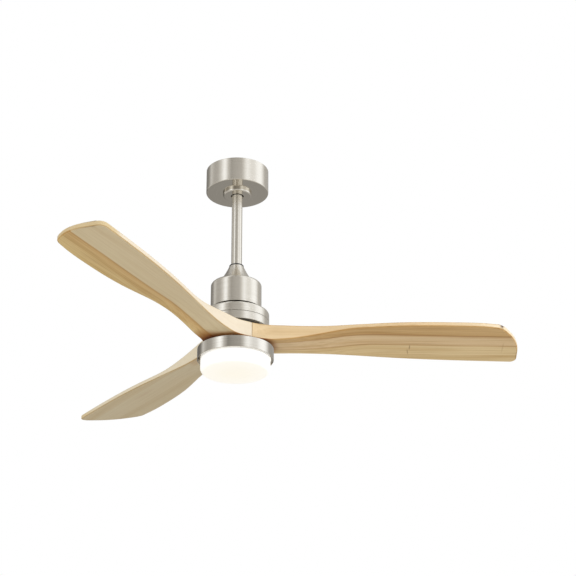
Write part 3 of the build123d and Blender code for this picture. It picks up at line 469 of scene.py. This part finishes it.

# A thin black ring where the rod enters the cone
rodRing = {"inner": mm(12.75), "outer": mm(17.1), "sunk": mm(0.4), "stands": mm(2.4), "round": mm(0.6)}
bm = spun([(rodRing["inner"], top - rodRing["sunk"]), (rodRing["outer"], top - rodRing["sunk"]),
           (rodRing["outer"], top + rodRing["stands"]), (rodRing["inner"], top + rodRing["stands"])])
roundRing(bm, (rodRing["outer"], top + rodRing["stands"]), rodRing["round"], segments=3)
newPiece("rod_black_ring", bm, finishes["black_plastic"], "hanging_frame", "black_plastic")

# Upper motor housing: a cup with a rounded shoulder
housingCup = {"wall": mm(1.5), "hole": mm(17.3), "shoulder": mm(7.5), "edgeBreak": mm(0.5), "gap": mm(1.2)}
radius, bottom, top = nodeSpan("motor_housing")
bottom += housingCup["gap"]
wall, hole = housingCup["wall"], housingCup["hole"]
shoulder = housingCup["shoulder"]
bm = spun([(hole, top), (radius, top), (radius, bottom), (radius - wall, bottom),
           (radius - wall, top - shoulder), (radius - shoulder, top - wall), (hole, top - wall)])
roundRing(bm, (radius, top), shoulder, segments=10)
roundRing(bm, (radius, bottom), housingCup["edgeBreak"], segments=2)
newPiece("motor_housing_cup", bm, nickel, "hanging_frame", "brushed_nickel", "motor_housing")

# Black moulded ring under the housing: a dust shield that also stands in for the shade inside the gap,
# filling the view to the shaft so the gap reads dark from every side, clear of the turning shell
dustAndShadeShield = {"inner": mm(14.0), "outer": mm(47.0), "clear": mm(1.5), "round": mm(1.0)}
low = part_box("rotor_upper_shell")[1].z + dustAndShadeShield["clear"]
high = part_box("housing_base_plate")[0].z
bm = spun([(dustAndShadeShield["inner"], low), (dustAndShadeShield["outer"], low), (dustAndShadeShield["outer"], high),
           (dustAndShadeShield["inner"], high)])
roundRing(bm, (dustAndShadeShield["outer"], low), dustAndShadeShield["round"], segments=3)
newPiece("dust_and_shade_shield_ring", bm, finishes["black_plastic"], "hanging_frame", "black_plastic")

# Motor's turning shell in two halves, with a dark line where they meet
rotorShell = {"wall": mm(2.5), "hole": mm(11.5), "shoulder": mm(6.0), "seamGap": mm(0.9),
              "seamBreak": mm(0.4), "footRound": mm(1.5), "bossInner": mm(17.55), "bossOuter": mm(21.0),
              "upperBossLow": mm(-387.0), "lowerBossHigh": mm(-403.5)}
radius, bottom, top = nodeSpan("rotor_upper_shell")
bottom += rotorShell["seamGap"]
wall, hole, shoulder = rotorShell["wall"], rotorShell["hole"], rotorShell["shoulder"]
bossIn, bossOut = rotorShell["bossInner"], rotorShell["bossOuter"]
bossLow = rotorShell["upperBossLow"]
bm = spun([(hole, top), (radius, top), (radius, bottom), (radius - wall, bottom),
           (radius - wall, top - shoulder), (radius - shoulder, top - wall), (bossOut, top - wall),
           (bossOut, bossLow), (bossIn, bossLow), (bossIn, top - wall), (hole, top - wall)])
roundRing(bm, (radius, top), shoulder, segments=8)
roundRing(bm, (radius, bottom), rotorShell["seamBreak"], segments=2)
newPiece("rotor_top_half", bm, nickel, "rotor", "brushed_nickel", "rotor_upper_shell")
radius, bottom, top = nodeSpan("rotor_lower_shell")
bossHigh = rotorShell["lowerBossHigh"]
bm = spun([(hole, bottom), (radius, bottom), (radius, top), (radius - wall, top),
           (radius - wall, bottom + wall), (bossOut, bottom + wall), (bossOut, bossHigh),
           (bossIn, bossHigh), (bossIn, bottom + wall), (hole, bottom + wall)])
roundRing(bm, (radius, bottom), rotorShell["footRound"], segments=4)
roundRing(bm, (radius, top), rotorShell["seamBreak"], segments=2)
newPiece("rotor_bottom_half", bm, nickel, "rotor", "brushed_nickel", "rotor_lower_shell")

# Light pan: a shallow metal ring with a closed top and three ledges inside
lightPan = {"sheet": mm(1.5), "wall": mm(1.8), "hole": mm(8.55), "rimRound": mm(1.2), "lip": mm(1.2),
            "edgeBreak": mm(0.4), "ledgeInner": mm(82.0), "ledgeLow": mm(-489.3), "ledgeHigh": mm(-487.0),
            "ledgeAngle": 26.0, "stopHigh": mm(-484.0), "stopAngle": 3.0, "places": 3}
radius, bottom, top = nodeSpan("light_pan")
sheet, wall, hole = lightPan["sheet"], lightPan["wall"], lightPan["hole"]
bm = spun([(hole, top), (radius, top), (radius, bottom), (radius - wall, bottom),
           (radius - wall, top - sheet), (hole, top - sheet)])
roundRing(bm, (radius, top), lightPan["rimRound"], segments=4)
roundRing(bm, (radius, bottom), lightPan["lip"], segments=3)
roundRing(bm, (radius - wall, bottom), lightPan["edgeBreak"], segments=2)
for place in range(lightPan["places"]):
    first = 360 * place / lightPan["places"] - lightPan["ledgeAngle"] / 2
    outer = radius - wall / 2
    addSector(bm, lightPan["ledgeInner"], outer, lightPan["ledgeLow"], lightPan["ledgeHigh"], first,
              lightPan["ledgeAngle"])
    addSector(bm, lightPan["ledgeInner"], outer, lightPan["ledgeLow"], lightPan["stopHigh"],
              first - lightPan["stopAngle"], lightPan["stopAngle"])
bmesh.ops.recalc_face_normals(bm, faces=bm.faces)
newPiece("light_pan_ring", bm, brightNickel, "hanging_frame", "brushed_nickel", "light_pan")

# Diffuser: an opal drum with a large rounded lower edge
opalDrum = {"radius": mm(80.6), "corner": mm(10.0), "wall": mm(2.5), "rimBreak": mm(0.5),
            "lugRadius": mm(84.3), "lugLow": mm(-486.5), "lugAngle": 22.0, "places": 3}
_, bottom, top = nodeSpan("diffuser")
radius, wall, corner = opalDrum["radius"], opalDrum["wall"], opalDrum["corner"]
bm = spun([(0, bottom), (radius, bottom), (radius, top), (radius - wall, top), (radius - wall, bottom + wall),
           (0, bottom + wall)], closed=False)
roundRing(bm, (radius, bottom), corner, segments=12)
roundRing(bm, (radius - wall, bottom + wall), corner - wall, segments=8)
roundRing(bm, (radius, top), opalDrum["rimBreak"], segments=2)
for place in range(opalDrum["places"]):
    first = 360 * place / opalDrum["places"] - opalDrum["lugAngle"] / 2
    addSector(bm, radius - wall / 2, opalDrum["lugRadius"], opalDrum["lugLow"], top, first,
              opalDrum["lugAngle"])
bmesh.ops.recalc_face_normals(bm, faces=bm.faces)
newPiece("opal_drum", bm, opal, "light_cover", "opal_acrylic", "diffuser")
print("round pieces spun")


# Blades: a plank that is square and thick at the hub, and thin and pitched outside it
bladePlank = {
    "azimuths": (1.0, 121.0, 241.0),
    "stations": [(72.0, 43.5, -49.0), (112.0, 39.5, -47.2), (152.0, 39.5, -46.6), (200.0, 42.8, -49.6),
                 (280.0, 51.8, -64.0), (380.0, 63.3, -80.0), (480.0, 70.3, -84.9), (580.0, 73.8, -81.4)],
    "cornerStart": (651.0, 75.2), "cornerEnd": (666.0, 58.5),
    "tipPoints": [(657.5, 1.5), (632.9, -47.7), (600.3, -78.2)],
    "loweredEndWay": (1.0, 0.02), "tipEndWay": (-1.0, -0.2), "raisedEndWay": (1.0, 0.14),
    "seamAngle": 59.45, "seamRadius": 72.0, "holeRadius": 22.0, "halfSector": 60.0,
    "blockTop": -420.2, "blockBottom": -457.5, "tipTop": -421.0, "tipBottom": -454.7, "tipThickness": 11.0,
    "twistStart": 72.0, "twistEnd": 285.0,
    "edgeRound": 3.2, "edgeSegments": 4, "rimAngle": 40.0, "rimSlack": 0.1,
    "edgeSteepness": 0.8, "arrisLow": -0.9, "arrisHigh": -0.4,
    "seamCells": 6, "sideCells": 92, "cornerCells": 6, "acrossCells": 20,
}


def smoothCurve(points, firstWay, lastWay, perSpan=24):
    # A smooth line through points; the end tangents are given, the others lean on their neighbours.
    places = [Vector(point) for point in points]
    gaps = [(b - a).length for a, b in zip(places, places[1:])]
    ways = [Vector(firstWay).normalized()]
    for at in range(1, len(places) - 1):
        before = (places[at] - places[at - 1]) / gaps[at - 1]
        after = (places[at + 1] - places[at]) / gaps[at]
        ways.append((before * gaps[at] + after * gaps[at - 1]) / (gaps[at] + gaps[at - 1]))
    ways.append(Vector(lastWay).normalized())
    line = [places[0]]
    for at, gap in enumerate(gaps):
        span = interpolate_bezier(places[at].to_3d(), (places[at] + ways[at] * gap / 3).to_3d(),
                                  (places[at + 1] - ways[at + 1] * gap / 3).to_3d(), places[at + 1].to_3d(),
                                  perSpan + 1)
        line += [point.to_2d() for point in span[1:]]
    return line


def evenSteps(line, count):
    # The same line, divided into equal lengths.
    lengths = [0.0]
    for a, b in zip(line, line[1:]):
        lengths.append(lengths[-1] + (b - a).length)
    steps, at = [], 0
    for step in range(count + 1):
        goal = lengths[-1] * step / count
        while at < len(line) - 2 and lengths[at + 1] < goal:
            at += 1
        share = (goal - lengths[at]) / (lengths[at + 1] - lengths[at])
        steps.append(line[at].lerp(line[at + 1], min(share, 1.0)))
    return steps


def onCircle(radius, azimuth):
    turn = math.radians(azimuth)
    return Vector((radius * math.cos(turn), radius * math.sin(turn)))


def mirrored(point):
    return Vector((point.x, -point.y))


def bladeOutline(plank):
    seam, hole = plank["seamAngle"], plank["holeRadius"]
    seamOut, seamIn = onCircle(plank["seamRadius"], seam), onCircle(hole, seam)
    half = math.radians(plank["halfSector"])
    seamWay = Vector((math.sin(half), -math.cos(half)))
    lowered = [seamOut] + [(far, low) for far, low, _ in plank["stations"]] + [plank["cornerStart"]]
    raised = [mirrored(seamOut)] + [(far, high) for far, _, high in plank["stations"]]
    raised.append(plank["tipPoints"][-1])
    cornerStart, cornerEnd = Vector(plank["cornerStart"]), Vector(plank["cornerEnd"])
    bend = Vector(plank["loweredEndWay"]).normalized()
    inward = Vector((bend.y, -bend.x))
    chord = cornerEnd - cornerStart
    cornerRadius = chord.length_squared / (2 * chord.dot(inward))
    centre = cornerStart + inward * cornerRadius
    sweep = (cornerStart - centre).angle_signed(cornerEnd - centre)
    corner = [centre + Matrix.Rotation(-sweep * step / plank["cornerCells"], 2) @ (cornerStart - centre)
              for step in range(plank["cornerCells"] + 1)]
    cornerOut = Matrix.Rotation(-sweep, 2) @ bend
    seamSide = [seamIn.lerp(seamOut, step / plank["seamCells"]) for step in range(plank["seamCells"])]
    loweredSide = evenSteps(smoothCurve(lowered, seamWay, bend), plank["sideCells"])
    raisedSide = evenSteps(smoothCurve(raised, mirrored(seamWay), plank["raisedEndWay"]),
                           plank["sideCells"] + plank["cornerCells"])
    cells = plank["acrossCells"]
    tip = evenSteps(smoothCurve([cornerEnd] + plank["tipPoints"], cornerOut, plank["tipEndWay"]), cells)
    root = [onCircle(hole, seam * (1 - 2 * step / cells)) for step in range(cells + 1)]
    loweredLine = seamSide + loweredSide + corner[1:]
    raisedLine = [mirrored(point) for point in seamSide] + raisedSide
    return loweredLine, raisedLine, root, tip


def stationAt(plank, distance):
    # Lowered and raised edge at a distance from the axis, eased between the stations.
    rows = plank["stations"]
    distance = min(max(distance, rows[0][0]), rows[-1][0])
    at = max(index for index in range(len(rows) - 1) if rows[index][0] <= distance)
    near, far = rows[at], rows[at + 1]
    before, after = rows[max(at - 1, 0)], rows[min(at + 2, len(rows) - 1)]
    span = far[0] - near[0]
    share = (distance - near[0]) / span
    edges = []
    for side in (1, 2):
        nearSlope = (far[side] - before[side]) / (far[0] - before[0]) * span
        farSlope = (after[side] - near[side]) / (after[0] - near[0]) * span
        square, cube = share ** 2, share ** 3
        edges.append((2 * cube - 3 * square + 1) * near[side] + (cube - 2 * square + share) * nearSlope
                     + (3 * square - 2 * cube) * far[side] + (cube - square) * farSlope)
    return edges


def blend(first, second, share):
    return first + (second - first) * share


def plankHeights(plank, along, across):
    # Underside and top of the plank at a point of its plan.
    share = min(max((along - plank["twistStart"]) / (plank["twistEnd"] - plank["twistStart"]), 0.0), 1.0)
    share = share * share * (3 - 2 * share)
    lowered, raised = stationAt(plank, along)
    thickness = blend(plank["blockTop"] - plank["blockBottom"], plank["tipThickness"], share)
    topRaised = blend(plank["blockTop"], plank["tipTop"], share)
    topLowered = blend(plank["blockBottom"], plank["tipBottom"], share) + thickness
    top = topRaised + (topLowered - topRaised) * (across - raised) / (lowered - raised)
    return top - thickness, top


def buildPlank(plank, azimuth):
    loweredSide, raisedSide, root, tip = bladeOutline(plank)
    alongCells, acrossCells = len(loweredSide) - 1, plank["acrossCells"]
    bm = bmesh.new()
    bmesh.ops.create_grid(bm, x_segments=alongCells, y_segments=acrossCells, size=0.5)
    for vert in bm.verts:
        u, v = vert.co.x + 0.5, vert.co.y + 0.5
        step, row = round(u * alongCells), round(v * acrossCells)
        sides = loweredSide[step].lerp(raisedSide[step], v)
        ends = root[row].lerp(tip[row], u)
        nearEnd = root[0].lerp(root[-1], v)
        farEnd = tip[0].lerp(tip[-1], v)
        point = sides + ends - nearEnd.lerp(farEnd, u)
        vert.co = (mm(point.x), mm(point.y), mm(plankHeights(plank, *point)[0]))
    lifted = bmesh.ops.extrude_face_region(bm, geom=bm.faces[:])["geom"]
    for vert in lifted:
        if isinstance(vert, bmesh.types.BMVert):
            vert.co.z = mm(plankHeights(plank, inMm(vert.co.x), inMm(vert.co.y))[1])
    bmesh.ops.recalc_face_normals(bm, faces=bm.faces)
    rimStart = mm(plank["seamRadius"] + plank["rimSlack"])
    rim = [edge for edge in bm.edges
           if edge.calc_face_angle(0) > math.radians(plank["rimAngle"])
           and (edge.verts[0].co - edge.verts[1].co).to_2d().length > mm(plank["rimSlack"])
           and max(vert.co.to_2d().length for vert in edge.verts) > rimStart]
    bmesh.ops.bevel(bm, geom=rim, offset=mm(plank["edgeRound"]), offset_type="OFFSET",
                    segments=plank["edgeSegments"], profile=0.5, affect="EDGES", material=-1)
    bm.normal_update()
    edgeShare = bm.faces.layers.float.new("edgeShare")
    arrisShare = bm.faces.layers.float.new("arrisShare")
    underShare = bm.faces.layers.float.new("underShare")
    for face in bm.faces:
        face[edgeShare] = 1.0 - min(abs(face.normal.z) / plank["edgeSteepness"], 1.0)
        face[arrisShare] = 1.0 if plank["arrisLow"] < face.normal.z < plank["arrisHigh"] else 0.0
        face[underShare] = 1.0 if face.normal.z < plank["arrisHigh"] else 0.0
    bmesh.ops.rotate(bm, verts=bm.verts, matrix=Matrix.Rotation(math.radians(azimuth), 3, "Z"))
    return bm


# The wood of each blade: the tint of its planed edges, partly their own and partly a painted sheen of the
# lamps on the lacquer, and from where they take the tint of the tip, how far its staves run askew at the hub,
# their tint and strength of grain from the raised edge to the lowered one in
# mm across, and its marks: knots, checks, streaks, a brown patch under blade 2, and painted shade under blade
# 3's hub
bladeWood = [
    {"edge": "e2c9a1", "edgeTip": "ebdcc0", "tipFrom": 470.0, "tipTo": 610.0, "drift": 14.0,
     "staves": [(-100, "d9b67e", 1.0), (-43, "d8b47b", 1.0), (-40.5, "bd9059", 1.0), (-38, "e9cea4", 1.0),
                (-1, "e8cb9e", 1.0), (1.5, "cba36f", 1.0), (4.5, "ecd3a2", 1.0), (100, "eed6a5", 1.0)],
     "marks": [
         {"along": 405.5, "across": 12, "length": 14, "width": 1.9, "lean": 93, "depth": 0.7,
          "tint": "8a6238"},
         {"along": 403, "across": 32, "length": 15, "width": 1.8, "lean": 100, "depth": 0.6,
          "tint": "8a6238"},
         {"along": 624, "across": 8, "length": 30, "width": 2.2, "lean": 93, "depth": 0.3, "tint": "a87f4c"},
         {"along": 608, "across": -72.5, "height": -425, "length": 8, "width": 7.5, "lean": 0, "depth": 1.0,
          "tint": "4a2a10"}]},
    {"edge": "e9dcc0", "edgeTip": "e0cba0", "tipFrom": 560.0, "tipTo": 630.0, "drift": 0.0,
     "staves": [(-100, "d6c6a4", 0.3), (-30, "d0be99", 0.3), (-28, "cab68f", 0.3), (-26, "d4c3a0", 0.3),
                (35, "d7c8a7", 0.3), (37, "d1be98", 0.3), (100, "d6c6a4", 0.3)],
     "marks": [
         {"along": 420, "across": 14, "length": 60, "width": 9, "lean": 0, "depth": 0.2, "tint": "b48a5a"},
         # a brown patch on the underside near the hub
         {"along": 140, "across": 28, "length": 34, "width": 14, "lean": 20, "depth": 0.4, "tint": "b58a56",
          "under": True}]},
    {"edge": "e9dcc6", "edgeTip": "d6c094", "tipFrom": 598.0, "tipTo": 625.0, "drift": 0.0,
     "staves": [(-100, "edd292", 1.0), (-45, "ecd095", 1.0), (-22, "e2be80", 1.0), (-16, "cda25f", 0.8),
                (-13, "e2d0a9", 0.35), (40, "e2cfa9", 0.35), (100, "e4d2ad", 0.35)],
     "marks": [
         {"along": 500, "across": -55, "length": 90, "width": 8, "lean": 2, "depth": 0.25, "tint": "b0803f"},
         # painted shade: a dark orange-brown patch on the underside where the blade meets the light ring
         {"along": 84, "across": -30, "length": 42, "width": 48, "lean": 0, "depth": 0.85, "tint": "a16410",
          "under": True}]},
]
for number, (azimuth, timber) in enumerate(zip(bladePlank["azimuths"], bladeWood), start=1):
    wood = paleWood(f"lacquered pale pine {number}", azimuth, timber)
    finishes.setdefault("natural_wood", wood)
    plank = newPiece(f"blade_plank_{number}", buildPlank(bladePlank, azimuth), wood, "rotor", "natural_wood",
                     f"blade_{number}")
    plank.visible_glossy = False   # the metal mirrors the studio and not the blades
print("blades shaped")

# The CAD nodes that still show take the procedural finish of their slot.
for node in nodes.values():
    for slot in node.material_slots:
        slot.material = finishes[slot.material.name]
print("carried-over nodes finished")

# Studio: a pale floor far below, soft light all round, a broad key from the right front, a fill from the left
studio = {"floorDrop": 3.3, "floorRadius": 5.4, "floorSides": 96, "floorTint": "f4f2ee",
          "floorFleck": "efede9", "fibreMm": 40.0, "floorRoughness": 0.8, "floorLift": 0.42,
          "white": "ffffff", "ambient": 0.635, "lampAim": (0, 0, -0.42), "lampSize": 2.0,
          "lamps": {"key": ((3.1, -2.3, 0.1), 88.0), "fill": ((-2.9, -2.6, -0.1), 40.0)}}
bm = bmesh.new()
bmesh.ops.create_circle(bm, cap_ends=True, segments=studio["floorSides"], radius=studio["floorRadius"])
bmesh.ops.translate(bm, verts=bm.verts, vec=(0, 0, -studio["floorDrop"]))
mesh = bpy.data.meshes.new("studio_floor")
bm.to_mesh(mesh)
bm.free()
floor = bpy.data.objects.new("studio_floor", mesh)
bpy.context.scene.collection.objects.link(floor)


def paleFloor():
    # Matt paper sweep, nearly white; the camera sees it a little lifted, with its shadow kept.
    material, tree, surface = newMaterial("pale paper sweep")
    place = addNode(tree, "ShaderNodeTexCoord").outputs["Object"]
    fibre = addNode(tree, "ShaderNodeTexNoise", {"Vector": place, "Scale": 1 / mm(studio["fibreMm"])})
    colour = addNode(tree, "ShaderNodeValToRGB", {0: fibre.outputs["Fac"]},
                     stops=[(noiseLow, linear(studio["floorFleck"])),
                            (noiseHigh, linear(studio["floorTint"]))])
    path = addNode(tree, "ShaderNodeLightPath").outputs
    lift = addNode(tree, "ShaderNodeMath", {0: path["Is Camera Ray"], 1: studio["floorLift"]},
                   operation="MULTIPLY")
    surface["Roughness"].default_value = studio["floorRoughness"]
    surface["Emission Color"].default_value = linear(studio["white"])
    tree.links.new(colour.outputs[0], surface["Base Color"])
    tree.links.new(lift.outputs[0], surface["Emission Strength"])
    return material


mesh.materials.append(paleFloor())

# Brightness that metal sees round the horizon, by azimuth from behind the camera, right positive
studioPanels = [(-180, 0.37), (-160, 0.2), (-142, 0.18), (-128, 0.3), (-114, 0.8), (-104, 0.6), (-94, 0.48),
                (-78, 0.52), (-64, 0.85), (-54, 1.3), (-48, 1.45), (-42, 1.2), (-35, 0.7), (-23, 0.34),
                (-10, 0.42), (2, 0.46), (14, 0.5), (22, 0.72), (30, 1.1), (38, 1.3), (46, 1.15), (54, 1.02),
                (66, 1.05), (78, 1.35), (90, 1.45), (100, 1.35), (110, 0.95), (120, 0.5), (138, 0.45),
                (153, 0.45), (180, 0.37)]
panelScale = 2.0   # the ramp holds levels divided by this, because its colours end at 1
panelTint = {"dim": (1.0, 0.96, 0.9), "bright": (1.0, 1.05, 1.13), "full": 1.4}


def panelColour(level):
    # The bright panels are a little cooler than the dim room between them.
    share = min(level / panelTint["full"], 1.0)
    tint = Vector(panelTint["dim"]).lerp(Vector(panelTint["bright"]), share)
    return (*(tint * level / panelScale), 1.0)


def studioWorld():
    world = bpy.data.worlds.new("studio")
    world.use_nodes = True
    tree = world.node_tree
    way = addNode(tree, "ShaderNodeTexCoord").outputs["Generated"]
    axes = addNode(tree, "ShaderNodeSeparateXYZ", {0: way}).outputs
    ahead = addNode(tree, "ShaderNodeMath", {0: axes["Y"], 1: -1.0}, operation="MULTIPLY")
    turn = addNode(tree, "ShaderNodeMath", {0: axes["X"], 1: ahead.outputs[0]}, operation="ARCTAN2")
    share = addNode(tree, "ShaderNodeMapRange", {"Value": turn.outputs[0], "From Min": -math.pi,
                                                 "From Max": math.pi})
    stops = [((azimuth + 180) / 360, panelColour(level)) for azimuth, level in studioPanels]
    panels = addNode(tree, "ShaderNodeValToRGB", {0: share.outputs[0]}, stops=stops)
    bright = addNode(tree, "ShaderNodeVectorMath", {0: panels.outputs[0], 1: (panelScale,) * 3},
                     operation="MULTIPLY")
    path = addNode(tree, "ShaderNodeLightPath").outputs
    bounced = addNode(tree, "ShaderNodeMath", {0: path["Is Glossy Ray"], 1: path["Is Transmission Ray"]},
                      operation="MAXIMUM")
    ambient = (*(studio["ambient"],) * 3, 1.0)
    soft = addNode(tree, "ShaderNodeMix", {0: bounced.outputs[0], 6: ambient, 7: bright.outputs[0]},
                   data_type="RGBA")
    seen = addNode(tree, "ShaderNodeMix", {0: path["Is Camera Ray"], 6: soft.outputs[2],
                                           7: linear(studio["white"])}, data_type="RGBA")
    tree.links.new(seen.outputs[2], tree.nodes["Background"].inputs["Color"])
    return world


scene = bpy.context.scene
scene.world = studioWorld()
for name, (place, power) in studio["lamps"].items():
    lamp = bpy.data.lights.new(name, "AREA")
    lamp.size = studio["lampSize"]
    lamp.energy = power
    stand = bpy.data.objects.new(name, lamp)
    scene.collection.objects.link(stand)
    stand.location = place
    stand.rotation_euler = (Vector(studio["lampAim"]) - stand.location).to_track_quat("-Z", "Y").to_euler()
    stand.visible_glossy = False
print("studio lit")

# Camera: below the fan, looking up at it, with a long lens
view = {"distance": mm(3504.39), "elevation": 22.797, "aimHeight": mm(-398.55), "focalPixels": 1505.84,
        "framePixels": 576, "yaw": 1.969, "pitch": 1.367, "roll": 0.606, "sensorMm": 36.0}
lens = bpy.data.cameras.new("camera")
lens.sensor_width = view["sensorMm"]
lens.lens = view["focalPixels"] / view["framePixels"] * view["sensorMm"]
camera = bpy.data.objects.new("camera", lens)
scene.collection.objects.link(camera)
elevation = math.radians(view["elevation"])
back = view["distance"] * math.cos(elevation)
drop = view["distance"] * math.sin(elevation)
tilt = Matrix.Rotation(math.pi / 2 + elevation, 4, "X")
aim = (Matrix.Rotation(math.radians(-view["yaw"]), 4, "Y")
       @ Matrix.Rotation(math.radians(view["pitch"]), 4, "X")
       @ Matrix.Rotation(math.radians(view["roll"]), 4, "Z"))
camera.matrix_world = Matrix.Translation((0, -back, view["aimHeight"] - drop)) @ tilt @ aim
scene.camera = camera

scene.view_settings.view_transform = "Standard"
